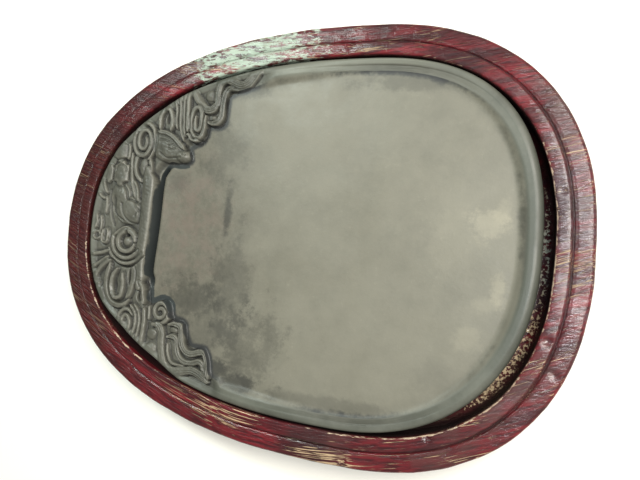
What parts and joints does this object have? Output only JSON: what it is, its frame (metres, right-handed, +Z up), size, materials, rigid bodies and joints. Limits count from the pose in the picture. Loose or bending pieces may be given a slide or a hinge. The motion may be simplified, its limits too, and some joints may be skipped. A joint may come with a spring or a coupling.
{
  "type": "inkstone in wooden tray",
  "caption": "Oval carved inkstone with a shallow grinding field and an ink well, lying loose in an open lacquered wooden tray on low feet.",
  "frame": {"origin": "on the resting surface, under the middle of the tray's outline", "axes": "+Z up; +X along the tray's length from the carved end of the stone towards the broad end; +Y across"},
  "size_m": [0.23, 0.1752, 0.0268],
  "materials": {
    "lacquered_wood": "glossy red-brown lacquer over open grain",
    "grey_green_stone": "honed, satin, with ink stains",
    "foot_wood": "thin satin lacquer"
  },
  "bodies": {
    "tray": {"tray": "lacquered_wood", "foot_broad_back": "foot_wood", "foot_carved_back": "foot_wood", "foot_carved_front": "foot_wood", "foot_broad_front": "foot_wood"},
    "inkstone": {"inkstone": "grey_green_stone"}
  },
  "joints": [
    {"name": "inkstone_lift", "type": "slide", "parent": "tray", "child": "inkstone", "axis": [0, 0, 1], "range_m": [0, 0.06]}
  ]
}
